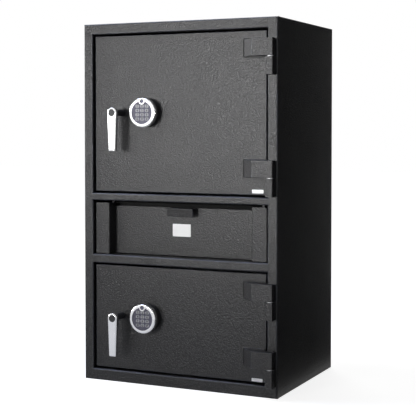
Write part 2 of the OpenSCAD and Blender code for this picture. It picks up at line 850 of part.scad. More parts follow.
// A plate that swings inwards only, on a tube rolled round the rod
module drop_flap() {
    color(plated) at_front() difference() {
        union() {
            translate([0, rod_back, rod_z]) bar_x(knuckle_d, -flap_x, flap_x);
            block([-flap_x, flap_y, flap_z0], [flap_x, flap_y + flap_t, rod_z]);
        }
        translate([0, rod_back, rod_z])
            bar_x(rod_d + 2 * run_clear, -flap_x - over, flap_x + over);
    }
}

side_walls();
roof_plate();
floor_plate();
back_plate();
front_frame();
chamber_roof();
chamber_floor();
drawer_runners();
hinge_blocks();
hinge_pins();
shelf();
flap_rod();
drop_flap();
drawer_front();
drawer_tray();
drawer_pull();
door_plate(UPPER);  // upper_door_plate
hinge_leaves(UPPER);  // upper_hinge_leaves
boltwork_box(UPPER);  // upper_boltwork_box
bolt_bar(UPPER);  // upper_bolt_bar
lock_case(UPPER);  // upper_lock_case
lock_bolt(UPPER);  // upper_lock_bolt
lever(UPPER);  // upper_lever
spindle(UPPER);  // upper_spindle
keypad_housing(UPPER);  // upper_keypad_housing
keypad_ring(UPPER);  // upper_keypad_ring
door_plate(LOWER);  // lower_door_plate
hinge_leaves(LOWER);  // lower_hinge_leaves
boltwork_box(LOWER);  // lower_boltwork_box
bolt_bar(LOWER);  // lower_bolt_bar
lock_case(LOWER);  // lower_lock_case
lock_bolt(LOWER);  // lower_lock_bolt
lever(LOWER);  // lower_lever
spindle(LOWER);  // lower_spindle
keypad_housing(LOWER);  // lower_keypad_housing
keypad_ring(LOWER);  // lower_keypad_ring
for (k = [0:len(KEYS) - 1]) {
    key(UPPER, k);
    key(LOWER, k);
}
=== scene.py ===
import json
import math

import bmesh
import bpy
from mathutils import Matrix, Vector

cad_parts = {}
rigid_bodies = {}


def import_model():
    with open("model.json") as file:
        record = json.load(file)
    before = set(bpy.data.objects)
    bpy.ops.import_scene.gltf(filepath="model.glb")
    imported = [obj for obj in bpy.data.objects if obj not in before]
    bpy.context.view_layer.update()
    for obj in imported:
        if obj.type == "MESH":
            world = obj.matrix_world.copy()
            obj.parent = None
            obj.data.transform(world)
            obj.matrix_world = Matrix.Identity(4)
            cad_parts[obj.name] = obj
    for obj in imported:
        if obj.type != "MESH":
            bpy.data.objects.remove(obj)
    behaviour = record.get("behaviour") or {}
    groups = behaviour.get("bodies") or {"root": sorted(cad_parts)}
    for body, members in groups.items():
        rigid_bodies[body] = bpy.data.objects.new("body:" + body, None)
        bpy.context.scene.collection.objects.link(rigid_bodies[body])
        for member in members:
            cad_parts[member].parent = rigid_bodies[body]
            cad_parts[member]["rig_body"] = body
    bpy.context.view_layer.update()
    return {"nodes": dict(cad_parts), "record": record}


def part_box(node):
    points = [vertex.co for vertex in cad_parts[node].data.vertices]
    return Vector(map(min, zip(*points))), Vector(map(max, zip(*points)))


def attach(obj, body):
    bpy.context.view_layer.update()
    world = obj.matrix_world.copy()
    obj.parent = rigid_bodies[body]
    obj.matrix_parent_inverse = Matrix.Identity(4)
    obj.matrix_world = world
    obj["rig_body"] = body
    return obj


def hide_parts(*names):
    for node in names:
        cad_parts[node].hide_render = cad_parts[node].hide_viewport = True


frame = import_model()

# Places are written in millimetres from the cabinet's front face, as in the part's source
mm = 0.001
nodes = frame["nodes"]
scene = bpy.context.scene
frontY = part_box("front_frame")[0].y
slotOfNode = {row["node"]: row["material_slot"] for row in frame["record"]["subparts"]}
bodyOfNode = {name: piece["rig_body"] for name, piece in nodes.items()}
doors = ("upper", "lower")
keyFigures = {"1": "1", "2": "2", "3": "3", "4": "4", "5": "5", "6": "6",
              "7": "7", "8": "8", "9": "9", "star": "*", "0": "0", "hash": "#"}


def camel(name):
    first, *rest = name.split("_")
    return first + "".join(word.capitalize() for word in rest)


# Shader helpers

def addNode(tree, kind, inputs=None, **settings):
    node = tree.nodes.new(kind)
    for key, value in settings.items():
        setattr(node, key, value)
    for key, value in (inputs or {}).items():
        if isinstance(value, bpy.types.NodeSocket):
            tree.links.new(value, node.inputs[key])
        else:
            node.inputs[key].default_value = value
    return node


def newGroup(name, inputs, outputs):
    group = bpy.data.node_groups.new(name, "ShaderNodeTree")
    for socketName, value in inputs.items():
        kind = "NodeSocketColor" if isinstance(value, tuple) else "NodeSocketFloat"
        group.interface.new_socket(socketName, in_out="INPUT", socket_type=kind).default_value = value
    for socketName, kind in outputs.items():
        group.interface.new_socket(socketName, in_out="OUTPUT", socket_type=kind)
    return group, group.nodes.new("NodeGroupInput").outputs, group.nodes.new("NodeGroupOutput")


def placeGroup(tree, group, **values):
    return addNode(tree, "ShaderNodeGroup", values, node_tree=group).outputs


# Raised grain of a given size: its height, and a mask of the raised spots, which the finishes colour lighter
# as a painted highlight on the raised grain
def makeGrainGroup():
    group, given, result = newGroup(
        "surfaceGrain", {"size": 0.002, "softness": 0.5},
        {"height": "NodeSocketFloat", "spots": "NodeSocketFloat"})
    where = addNode(group, "ShaderNodeTexCoord").outputs["Object"]
    scale = addNode(group, "ShaderNodeMath", {0: 1.0, 1: given["size"]}, operation="DIVIDE").outputs[0]
    cells = addNode(group, "ShaderNodeTexVoronoi",
                    {"Vector": where, "Scale": scale, "Smoothness": given["softness"]}, feature="SMOOTH_F1")
    rough = addNode(group, "ShaderNodeTexNoise",
                    {"Vector": where, "Scale": scale, "Detail": 3.0, "Roughness": 0.6}).outputs["Fac"]
    peaks = addNode(group, "ShaderNodeMath", {0: 1.0, 1: cells.outputs["Distance"]},
                    operation="SUBTRACT").outputs[0]
    height = addNode(group, "ShaderNodeMath", {0: peaks, 1: rough}, operation="MULTIPLY").outputs[0]
    spots = addNode(group, "ShaderNodeMapRange", {"Value": height, "From Min": 0.15, "From Max": 0.55})
    group.links.new(height, result.inputs["height"])
    group.links.new(spots.outputs["Result"], result.inputs["spots"])
    return group


# A colour that drifts between two tones over a given distance
def makeDriftGroup():
    group, given, result = newGroup(
        "toneDrift", {"size": 0.1, "low": (0.1, 0.1, 0.1, 1.0), "high": (0.2, 0.2, 0.2, 1.0)},
        {"colour": "NodeSocketColor", "mask": "NodeSocketFloat"})
    where = addNode(group, "ShaderNodeTexCoord").outputs["Object"]
    scale = addNode(group, "ShaderNodeMath", {0: 1.0, 1: given["size"]}, operation="DIVIDE").outputs[0]
    cloud = addNode(group, "ShaderNodeTexNoise",
                    {"Vector": where, "Scale": scale, "Detail": 4.0, "Roughness": 0.55}).outputs["Fac"]
    mask = addNode(group, "ShaderNodeMapRange",
                   {"Value": cloud, "From Min": 0.3, "From Max": 0.7}).outputs["Result"]
    mixed = addNode(group, "ShaderNodeMix",
                    {"Factor": mask, "A": given["low"], "B": given["high"]}, data_type="RGBA")
    group.links.new(mixed.outputs["Result"], result.inputs["colour"])
    group.links.new(mask, result.inputs["mask"])
    return group


# Rubbed edges, with a painted highlight on them: the rounded edges carry an attribute that marks them, and
# noise breaks the rub and the highlight up. The grain stops there, because a coat pulls smooth over an edge
def makeRubAndHighlightGroup():
    group, given, result = newGroup(
        "paintedEdgeHighlightAndRub", {"size": 0.02, "amount": 0.5}, {"mask": "NodeSocketFloat", "flat": "NodeSocketFloat"})
    where = addNode(group, "ShaderNodeTexCoord").outputs["Object"]
    edge = addNode(group, "ShaderNodeAttribute", attribute_name="rubbedEdgeHighlight").outputs["Fac"]
    scale = addNode(group, "ShaderNodeMath", {0: 1.0, 1: given["size"]}, operation="DIVIDE").outputs[0]
    noise = addNode(group, "ShaderNodeTexNoise",
                    {"Vector": where, "Scale": scale, "Detail": 5.0, "Roughness": 0.7}).outputs["Fac"]
    broken = addNode(group, "ShaderNodeMapRange",
                     {"Value": noise, "From Min": 0.35, "From Max": 0.75}).outputs["Result"]
    rub = addNode(group, "ShaderNodeMath", {0: edge, 1: broken}, operation="MULTIPLY").outputs[0]
    mask = addNode(group, "ShaderNodeMath", {0: rub, 1: given["amount"]}, operation="MULTIPLY")
    flat = addNode(group, "ShaderNodeMath", {0: 1.0, 1: edge}, operation="SUBTRACT")
    group.links.new(mask.outputs[0], result.inputs["mask"])
    group.links.new(flat.outputs[0], result.inputs["flat"])
    return group


# Fine lines left by grinding or brushing along one axis
def makeBrushGroup():
    group, given, result = newGroup(
        "brushLines", {"across": 0.0006, "along": 0.03}, {"height": "NodeSocketFloat"})
    where = addNode(group, "ShaderNodeTexCoord").outputs["Object"]
    parts = addNode(group, "ShaderNodeSeparateXYZ", {"Vector": where}).outputs
    lines = {}
    for axis, size in (("X", "along"), ("Y", "along"), ("Z", "across")):
        lines[axis] = addNode(group, "ShaderNodeMath", {0: parts[axis], 1: given[size]},
                              operation="DIVIDE").outputs[0]
    stretched = addNode(group, "ShaderNodeCombineXYZ", lines).outputs["Vector"]
    noise = addNode(group, "ShaderNodeTexNoise",
                    {"Vector": stretched, "Scale": 1.0, "Detail": 4.0, "Roughness": 0.65})
    group.links.new(noise.outputs["Fac"], result.inputs["height"])
    return group


grainGroup = makeGrainGroup()
driftGroup = makeDriftGroup()
rubAndHighlightGroup = makeRubAndHighlightGroup()
brushGroup = makeBrushGroup()


def startMaterial(name, look):
    material = bpy.data.materials.new(name)
    material.use_nodes = True
    tree = material.node_tree
    shader = tree.nodes["Principled BSDF"]
    for socketName, value in look["shader"].items():
        shader.inputs[socketName].default_value = value
    material.diffuse_color = look["high"]
    return material, tree, shader


def addBump(tree, shader, height, strength, distance):
    bump = addNode(tree, "ShaderNodeBump", {"Height": height, "Strength": strength, "Distance": distance})
    tree.links.new(bump.outputs["Normal"], shader.inputs["Normal"])


def addRoughness(tree, shader, mask, low, high):
    spread = addNode(tree, "ShaderNodeMapRange", {"Value": mask, "To Min": low, "To Max": high})
    tree.links.new(spread.outputs["Result"], shader.inputs["Roughness"])


# A painted, moulded or metal surface: drifting tone, grain with painted highlights on its raised spots,
# and rubbed edges that carry a painted highlight
def makeFinish(name, look):
    material, tree, shader = startMaterial(name, look)
    drift = placeGroup(tree, driftGroup, size=look["driftSize"], low=look["low"], high=look["high"])
    grain = placeGroup(tree, grainGroup, size=look["grainSize"], softness=look["softness"])
    rubAndHighlight = placeGroup(tree, rubAndHighlightGroup, size=look["wearSize"], amount=look["rubAndHighlightAmount"])
    speckledAndLit = addNode(tree, "ShaderNodeMix", {"Factor": grain["spots"], "A": drift["colour"],
                                               "B": look["spotAndHighlightColour"]}, data_type="RGBA")
    rubbedAndLit = addNode(tree, "ShaderNodeMix", {"Factor": rubAndHighlight["mask"], "A": speckledAndLit.outputs["Result"],
                                           "B": look["rubAndHighlightColour"]}, data_type="RGBA")
    tree.links.new(rubbedAndLit.outputs["Result"], shader.inputs["Base Color"])
    addRoughness(tree, shader, drift["mask"], *look["roughness"])
    height = addNode(tree, "ShaderNodeMath", {0: grain["height"], 1: rubAndHighlight["flat"]},
                     operation="MULTIPLY").outputs[0]
    if "brush" in look:
        across, along = look["brush"]
        lines = placeGroup(tree, brushGroup, across=across, along=along)
        height = addNode(tree, "ShaderNodeMath", {0: height, 1: lines["height"]}, operation="ADD").outputs[0]
    addBump(tree, shader, height, look["bumpStrength"], look["bumpDepth"])
    return material


# Looks, by the record's material slots

def grey(level, tint=0.0):
    return (level, level, level * (1.0 + tint), 1.0)


finishes = {
    "black_coat": {
        "shader": {"Metallic": 0.0, "Specular IOR Level": 0.30},
        "low": (0.0100, 0.0097, 0.0102, 1.0), "high": (0.0135, 0.0132, 0.0134, 1.0),
        # The lighter spot colour on the coat's raised grain is a painted highlight, as if the raised grain
        # caught more light
        "spotAndHighlightColour": (0.036, 0.0355, 0.0365, 1.0),
        "driftSize": 0.12, "grainSize": 0.0037, "softness": 0.15, "roughness": (0.34, 0.38),
        # The coat's bluish rub colour, laid on thickly, is mostly a painted highlight of light from above on
        # its rounded edges
        "wearSize": 0.03, "rubAndHighlightAmount": 0.80, "rubAndHighlightColour": (0.085, 0.095, 0.130, 1.0),
        "bumpStrength": 0.95, "bumpDepth": 0.0012},
    "satin_chrome": {
        "shader": {"Metallic": 1.0},
        "low": grey(0.67, 0.01), "high": grey(0.72, 0.01), "spotAndHighlightColour": grey(0.70, 0.01),
        "driftSize": 0.05, "grainSize": 0.0007, "softness": 0.4, "roughness": (0.20, 0.26),
        "wearSize": 0.008, "rubAndHighlightAmount": 0.3, "rubAndHighlightColour": grey(0.78, 0.01),
        "bumpStrength": 0.05, "bumpDepth": 0.00006},
    "bright_steel": {
        "shader": {"Metallic": 1.0},
        "low": grey(0.46, 0.03), "high": grey(0.54, 0.03), "spotAndHighlightColour": grey(0.51, 0.03),
        "driftSize": 0.02, "grainSize": 0.0008, "softness": 0.4, "roughness": (0.26, 0.40),
        "wearSize": 0.01, "rubAndHighlightAmount": 0.3, "rubAndHighlightColour": grey(0.62, 0.02),
        "bumpStrength": 0.2, "bumpDepth": 0.0001, "brush": (0.0004, 0.02)},
    "zinc_plate": {
        "shader": {"Metallic": 1.0},
        "low": (0.27, 0.28, 0.29, 1.0), "high": (0.34, 0.35, 0.36, 1.0),
        "spotAndHighlightColour": (0.37, 0.38, 0.39, 1.0),
        "driftSize": 0.06, "grainSize": 0.009, "softness": 0.05, "roughness": (0.46, 0.58),
        "wearSize": 0.02, "rubAndHighlightAmount": 0.4, "rubAndHighlightColour": grey(0.50, 0.02),
        "bumpStrength": 0.25, "bumpDepth": 0.0002, "brush": (0.0009, 0.06)},
    "cast_zinc": {
        "shader": {"Metallic": 0.9},
        "low": grey(0.33, 0.03), "high": grey(0.42, 0.03), "spotAndHighlightColour": grey(0.39, 0.03),
        "driftSize": 0.02, "grainSize": 0.0011, "softness": 0.3, "roughness": (0.46, 0.60),
        "wearSize": 0.01, "rubAndHighlightAmount": 0.5, "rubAndHighlightColour": grey(0.62, 0.02),
        "bumpStrength": 0.4, "bumpDepth": 0.0002},
    # Blackened steel, pushed to near black so that the flap and rod seen through the gap above the drawer
    # paint the shade there
    "black_oxide": {
        "shader": {"Metallic": 0.0, "Specular IOR Level": 0.12},
        "low": grey(0.0025), "high": grey(0.0040), "spotAndHighlightColour": grey(0.0055),
        "driftSize": 0.03, "grainSize": 0.0012, "softness": 0.4, "roughness": (0.62, 0.74),
        "wearSize": 0.01, "rubAndHighlightAmount": 0.3, "rubAndHighlightColour": grey(0.02),
        "bumpStrength": 0.3, "bumpDepth": 0.0002},
    "lock_brass": {
        "shader": {"Metallic": 1.0},
        "low": (0.60, 0.43, 0.18, 1.0), "high": (0.72, 0.55, 0.27, 1.0),
        "spotAndHighlightColour": (0.68, 0.50, 0.23, 1.0),
        "driftSize": 0.012, "grainSize": 0.0009, "softness": 0.4, "roughness": (0.24, 0.38),
        "wearSize": 0.008, "rubAndHighlightAmount": 0.4, "rubAndHighlightColour": (0.82, 0.66, 0.36, 1.0),
        "bumpStrength": 0.2, "bumpDepth": 0.0001, "brush": (0.0003, 0.01)},
    "black_plastic": {
        "shader": {"Metallic": 0.0, "Specular IOR Level": 0.4},
        "low": grey(0.008, 0.1), "high": grey(0.012, 0.1), "spotAndHighlightColour": grey(0.016, 0.1),
        "driftSize": 0.02, "grainSize": 0.0008, "softness": 0.4, "roughness": (0.42, 0.55),
        "wearSize": 0.01, "rubAndHighlightAmount": 0.3, "rubAndHighlightColour": grey(0.05, 0.05),
        "bumpStrength": 0.35, "bumpDepth": 0.00012},
    "grey_keys": {
        "shader": {"Metallic": 0.0, "Specular IOR Level": 0.35},
        "low": (0.29, 0.29, 0.305, 1.0), "high": (0.34, 0.34, 0.355, 1.0),
        "spotAndHighlightColour": (0.36, 0.36, 0.37, 1.0),
        "driftSize": 0.012, "grainSize": 0.0006, "softness": 0.5, "roughness": (0.55, 0.68),
        "wearSize": 0.004, "rubAndHighlightAmount": 0.25, "rubAndHighlightColour": (0.56, 0.56, 0.58, 1.0),
        "bumpStrength": 0.3, "bumpDepth": 0.00006},
    "keypad_face": {
        "shader": {"Metallic": 0.0, "Specular IOR Level": 0.35},
        "low": (0.070, 0.068, 0.100, 1.0), "high": (0.095, 0.092, 0.128, 1.0),
        "spotAndHighlightColour": (0.11, 0.105, 0.14, 1.0),
        "driftSize": 0.02, "grainSize": 0.0006, "softness": 0.5, "roughness": (0.45, 0.58),
        "wearSize": 0.01, "rubAndHighlightAmount": 0.2, "rubAndHighlightColour": (0.20, 0.20, 0.23, 1.0),
        "bumpStrength": 0.3, "bumpDepth": 0.00008},
    "key_print": {
        "shader": {"Metallic": 0.0, "Specular IOR Level": 0.3},
        "low": grey(0.030, 0.1), "high": grey(0.045, 0.1), "spotAndHighlightColour": grey(0.05, 0.1),
        "driftSize": 0.004, "grainSize": 0.0005, "softness": 0.5, "roughness": (0.5, 0.65),
        "wearSize": 0.004, "rubAndHighlightAmount": 0.0, "rubAndHighlightColour": grey(0.1),
        "bumpStrength": 0.2, "bumpDepth": 0.00004},
    "lamp_lens": {
        "shader": {"Metallic": 0.0, "Specular IOR Level": 0.6, "Coat Weight": 0.6, "Coat Roughness": 0.05},
        "low": (0.075, 0.075, 0.135, 1.0), "high": (0.105, 0.105, 0.175, 1.0),
        "spotAndHighlightColour": (0.13, 0.13, 0.20, 1.0),
        "driftSize": 0.004, "grainSize": 0.0012, "softness": 0.8, "roughness": (0.14, 0.22),
        "wearSize": 0.004, "rubAndHighlightAmount": 0.1, "rubAndHighlightColour": (0.16, 0.16, 0.22, 1.0),
        "bumpStrength": 0.08, "bumpDepth": 0.00005},
    "white_plate": {
        "shader": {"Metallic": 0.0, "Specular IOR Level": 0.5, "Coat Weight": 0.5, "Coat Roughness": 0.2},
        "low": grey(0.86), "high": grey(0.89), "spotAndHighlightColour": grey(0.88),
        "driftSize": 0.02, "grainSize": 0.0012, "softness": 0.6, "roughness": (0.32, 0.42),
        "wearSize": 0.006, "rubAndHighlightAmount": 0.35, "rubAndHighlightColour": grey(0.60),
        "bumpStrength": 0.1, "bumpDepth": 0.00005},
}
materials = {slot: makeFinish(camel(slot), look) for slot, look in finishes.items()}
print("finishes made:", len(materials))


# Mesh helpers

mesh = {"joinDistance": 0.004, "flatAngle": 0.4, "shadeAngle": 42.0, "roundAngle": 35.0, "facePlay": 0.05,
        "facing": 0.99}


def at(x, y, z):
    return Vector((x * mm, y * mm + frontY, z * mm))


def newVerts(made):
    return [item for item in made if isinstance(item, bmesh.types.BMVert)]


def isSharp(edge, degrees):
    return len(edge.link_faces) == 2 and edge.calc_face_angle(0.0) > math.radians(degrees)


# The faces that look forward and lie in a piece's front
def facesAtFront(bm, frontOfPiece):
    play = mesh["facePlay"] * mm
    return [face for face in bm.faces
            if face.normal.y < -mesh["facing"] and abs(face.calc_center_median().y - frontOfPiece) <= play]


def shadeByAngle(bm):
    for face in bm.faces:
        face.smooth = True
    for edge in bm.edges:
        edge.smooth = not isSharp(edge, mesh["shadeAngle"])


# A rounding is its width in millimetres and its number of segments. The new faces are marked as rubbed, and
# so take the rub and its painted highlight
def roundEdges(bm, edges, width, segments):
    if bm.faces.layers.float.get("rubbedEdgeHighlight") is None:
        bm.faces.layers.float.new("rubbedEdgeHighlight")
    edges = [edge for edge in edges if edge.is_valid]
    made = bmesh.ops.bevel(bm, geom=edges, offset=width * mm, offset_type="OFFSET", affect="EDGES",
                           segments=segments, profile=0.5, material=-1, clamp_overlap=True)
    rubAndHighlight = bm.faces.layers.float.get("rubbedEdgeHighlight")
    for face in made["faces"]:
        face[rubAndHighlight] = 1.0


def addPiece(name, bm, slot, body, replaced=()):
    shadeByAngle(bm)
    surface = bpy.data.meshes.new(name)
    bm.to_mesh(surface)
    bm.free()
    surface.materials.append(materials[slot])
    piece = bpy.data.objects.new(name, surface)
    scene.collection.objects.link(piece)
    evened = piece.modifiers.new("evenShading", "WEIGHTED_NORMAL")
    evened.keep_sharp = True
    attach(piece, body)
    if replaced:
        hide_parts(*replaced)


# A joined-up copy of a CAD node, to round its edges and add its small features
def copyNode(nodeName):
    bm = bmesh.new()
    bm.from_mesh(nodes[nodeName].data)
    bmesh.ops.remove_doubles(bm, verts=bm.verts, dist=mesh["joinDistance"] * mm)
    bmesh.ops.dissolve_limit(bm, angle_limit=math.radians(mesh["flatAngle"]), verts=bm.verts,
                             edges=bm.edges, use_dissolve_boundaries=False)
    return bm


# The copy with its sharp edges rounded, but for those too short or that keep turns down
def softenNode(nodeName, width, segments, sharpAngle=mesh["roundAngle"], shortest=0.0, keep=None):
    bm = copyNode(nodeName)
    chosen = []
    for edge in bm.edges:
        middle = (edge.verts[0].co + edge.verts[1].co) / 2
        longEnough = edge.calc_length() > shortest * mm
        if longEnough and isSharp(edge, sharpAngle) and (keep is None or keep(middle)):
            chosen.append(edge)
    roundEdges(bm, chosen, width, segments)
    return bm


def putNode(nodeName, bm):
    addPiece(camel(nodeName), bm, slotOfNode[nodeName], bodyOfNode[nodeName], [nodeName])


# Cabinet: only the cabinet's own outer corners are rounded on the plates, so that the joints stay flush

cabinetLow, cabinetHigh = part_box("side_walls")
cabinet = {"cornerRound": (1.2, 3), "sheetRound": (0.6, 2), "sheetShortest": 4.0, "frameLip": 14.0,
           "lipMargin": 1.0, "flushTolerance": 0.2, "foldDepth": 4.5, "foldFacing": (-0.99, -0.05),
           "upwardFacing": 0.1, "upwardFoldHighlight": 1.0, "foldRubAndHighlight": 0.4}


def onCabinetCorner(point):
    close = cabinet["flushTolerance"] * mm
    sides = [abs(point[axis] - corner[axis]) for axis in range(3) for corner in (cabinetLow, cabinetHigh)]
    touching = [distance < close for distance in sides]
    behindLip = point.y > frontY + (cabinet["frameLip"] + cabinet["lipMargin"]) * mm
    return behindLip and sum(touching) >= 2


for plate in ("side_walls", "roof_plate", "floor_plate", "back_plate"):
    putNode(plate, softenNode(plate, *cabinet["cornerRound"], keep=onCabinetCorner))


def offFrameLip(point):
    return abs(point.y - frontY - cabinet["frameLip"] * mm) > cabinet["flushTolerance"] * mm


# The frame's folded edges are rubbed like its corners and take the painted bluish highlight, most on the
# folds that look up, where light from above would catch them
frameSheet = softenNode("front_frame", *cabinet["sheetRound"], keep=offFrameLip)
frameRubAndHighlight = frameSheet.faces.layers.float.get("rubbedEdgeHighlight")
foldStart, foldEnd = cabinet["foldFacing"]
for face in frameSheet.faces:
    nearFront = face.calc_center_median().y < frontY + cabinet["foldDepth"] * mm
    if nearFront and foldStart < face.normal.y < foldEnd:
        looksUp = face.normal.z > cabinet["upwardFacing"]
        face[frameRubAndHighlight] = cabinet["upwardFoldHighlight"] if looksUp else cabinet["foldRubAndHighlight"]
putNode("front_frame", frameSheet)
for sheet in ("chamber_roof", "chamber_floor", "shelf", "drawer_runners"):
    putNode(sheet, softenNode(sheet, *cabinet["sheetRound"], shortest=cabinet["sheetShortest"]))
print("cabinet made")


# Hinges, with the weld beads that hold them

hinge = {"leafRound": (1.4, 3), "blockRound": (1.0, 2), "pinRound": (0.3, 2), "leafHeight": 45.0,
         "blockHeight": 47.0, "leafGap": 2.1, "beadRadius": 2.4, "blockBeadRadius": 1.68, "beadSides": 10,
         "beadSink": 0.5, "beadTaper": 0.45, "rippleLength": 3.2, "rippleDepth": 0.16}


# A weld bead: a rod with ripples, narrow at its ends
def addBead(bm, start, end, radius):
    run = end - start
    steps = max(2, round(run.length / (hinge["rippleLength"] * mm)))
    bead = bmesh.new()
    bmesh.ops.create_cone(bead, cap_ends=True, segments=hinge["beadSides"], radius1=radius, radius2=radius,
                          depth=run.length)
    along = [edge for edge in bead.edges if abs(edge.verts[0].co.z - edge.verts[1].co.z) > run.length / 2]
    bmesh.ops.subdivide_edges(bead, edges=along, cuts=2 * steps - 1, use_grid_fill=True)
    for vert in bead.verts:
        station = (vert.co.z / run.length + 0.5) * 2 * steps
        narrow = 1.0 - hinge["rippleDepth"] * (round(station) % 2 == 0)
        if round(station) in (0, 2 * steps):
            narrow = hinge["beadTaper"]
        vert.co.x *= narrow
        vert.co.y *= narrow
    turn = run.to_track_quat("Z", "Y").to_matrix().to_4x4()
    bmesh.ops.transform(bead, matrix=Matrix.Translation((start + end) / 2) @ turn, verts=bead.verts)
    joined = bpy.data.meshes.new("bead")
    bead.to_mesh(joined)
    bead.free()
    bm.from_mesh(joined)
    bpy.data.meshes.remove(joined)


putNode("hinge_blocks", softenNode("hinge_blocks", *hinge["blockRound"]))
putNode("hinge_pins", softenNode("hinge_pins", *hinge["pinRound"]))
radius = hinge["beadRadius"] * mm
sink = hinge["beadSink"] * mm
blockLow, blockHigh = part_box("hinge_blocks")
onFrame = frontY - sink
blockBeads = bmesh.new()
for door in doors:
    leaves = door + "_hinge_leaves"
    leafLow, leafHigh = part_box(leaves)
    plateLow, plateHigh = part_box(door + "_door_plate")
    onDoor = plateLow.y - sink
    putNode(leaves, softenNode(leaves, *hinge["leafRound"]))
    leafBeads = bmesh.new()
    for footZ in (leafLow.z, leafHigh.z - hinge["leafHeight"] * mm):
        headZ = footZ + hinge["leafHeight"] * mm
        for beadZ in (footZ - sink, headZ + sink):
            addBead(leafBeads, Vector((leafLow.x, onDoor, beadZ)),
                    Vector((plateHigh.x - radius, onDoor, beadZ)), radius)
        addBead(leafBeads, Vector((leafLow.x, onDoor, footZ)), Vector((leafLow.x, onDoor, headZ)), radius)
        blockTop = footZ - hinge["leafGap"] * mm
        blockFoot = blockTop - hinge["blockHeight"] * mm
        for side in (blockLow.x - sink, blockHigh.x + sink):
            addBead(blockBeads, Vector((side, onFrame, blockFoot)), Vector((side, onFrame, blockTop)),
                    hinge["blockBeadRadius"] * mm)
    addPiece(door + "LeafWelds", leafBeads, "black_coat", door + "_door")
addPiece("blockWelds", blockBeads, "black_coat", "cabinet")
print("hinges made")


# Screws for the covers inside

screw = {"headWidth": 8.0, "headHeight": 2.4, "headSides": 24, "rimRound": (0.7, 3), "slotWidth": 1.2,
         "slotDepth": 1.1, "slotFacing": 0.5, "turnStep": 37.0}


def makeScrewMesh():
    bm = bmesh.new()
    radius = screw["headWidth"] / 2 * mm
    height = screw["headHeight"] * mm
    bmesh.ops.create_cone(bm, cap_ends=True, segments=screw["headSides"], radius1=radius, radius2=radius,
                          depth=height, matrix=Matrix.Translation((0, 0, height / 2)))
    rim = [edge for edge in bm.edges if min(vert.co.z for vert in edge.verts) > height / 2]
    roundEdges(bm, rim, *screw["rimRound"])
    half = screw["slotWidth"] / 2 * mm
    for side in (-half, half):
        geometry = bm.verts[:] + bm.edges[:] + bm.faces[:]
        bmesh.ops.bisect_plane(bm, geom=geometry, plane_co=(side, 0, 0), plane_no=(1, 0, 0))
    slotFaces = [face for face in bm.faces
                 if abs(face.calc_center_median().x) < half and face.normal.z > screw["slotFacing"]]
    made = bmesh.ops.extrude_face_region(bm, geom=slotFaces)["geom"]
    for vert in newVerts(made):
        vert.co.z = height - screw["slotDepth"] * mm
    bmesh.ops.delete(bm, geom=slotFaces, context="FACES_ONLY")
    bmesh.ops.recalc_face_normals(bm, faces=bm.faces)
    surface = bpy.data.meshes.new("screwHead")
    bm.to_mesh(surface)
    bm.free()
    return surface


screwMesh = makeScrewMesh()


# One piece of screw heads that look along outward, with their slots turned at odd angles
def addScrews(name, places, outward, slot, body):
    bm = bmesh.new()
    face = Vector(outward).to_track_quat("Z", "Y").to_matrix().to_4x4()
    for number, place in enumerate(places):
        head = screwMesh.copy()
        slotTurn = Matrix.Rotation(math.radians(screw["turnStep"] * number), 4, "Z")
        head.transform(Matrix.Translation(place) @ face @ slotTurn)
        bm.from_mesh(head)
        bpy.data.meshes.remove(head)
    addPiece(name, bm, slot, body)


def cornerPlaces(low, high, inset, y):
    across = (low.x + inset, high.x - inset)
    upward = (low.z + inset, high.z - inset)
    return [Vector((x, y, z)) for x in across for z in upward]


# Doors, boltwork and locks

# For each piece: the rounding, its segments, and the shortest edge that is rounded
boltwork = {"door_plate": (1.2, 3, 4.0), "boltwork_box": (0.6, 2, 4.0), "bolt_bar": (0.8, 2, 1.0),
            "lock_case": (1.5, 3, 8.0), "lock_bolt": (0.6, 2, 0.0)}
coverScrews = {"coverInset": 12.0, "caseInset": 8.0}

for door in doors:
    for part, (width, segments, shortest) in boltwork.items():
        nodeName = door + "_" + part
        putNode(nodeName, softenNode(nodeName, width, segments, shortest=shortest))
    inset = coverScrews["coverInset"] * mm
    boxLow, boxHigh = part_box(door + "_boltwork_box")
    plateLow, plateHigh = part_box(door + "_door_plate")
    coverRight = plateLow.x + plateHigh.x - boxLow.x
    coverHigh = Vector((coverRight, boxHigh.y, boxHigh.z))
    coverPlaces = cornerPlaces(boxLow, coverHigh, inset, boxHigh.y)
    for x in (boxLow.x + inset, coverRight - inset):
        coverPlaces.append(Vector((x, boxHigh.y, (boxLow.z + boxHigh.z) / 2)))
    addScrews(door + "CoverScrews", coverPlaces, (0, 1, 0), "bright_steel", door + "_door")
    caseLow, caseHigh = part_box(door + "_lock_case")
    casePlaces = cornerPlaces(caseLow, caseHigh, coverScrews["caseInset"] * mm, caseHigh.y)
    addScrews(door + "LockScrews", casePlaces, (0, 1, 0), "bright_steel", door + "_door")
print("doors made")


# Handles: the lever, and its shaft whose end shows in the lever's head as a cap with a sunk rim

handle = {"leverRound": (0.6, 3), "leverAngle": 20.0, "boreRadius": 10.3, "shaftRound": (0.7, 2),
          "capRim": 1.1, "capStep": 0.3, "capSink": 1.2}

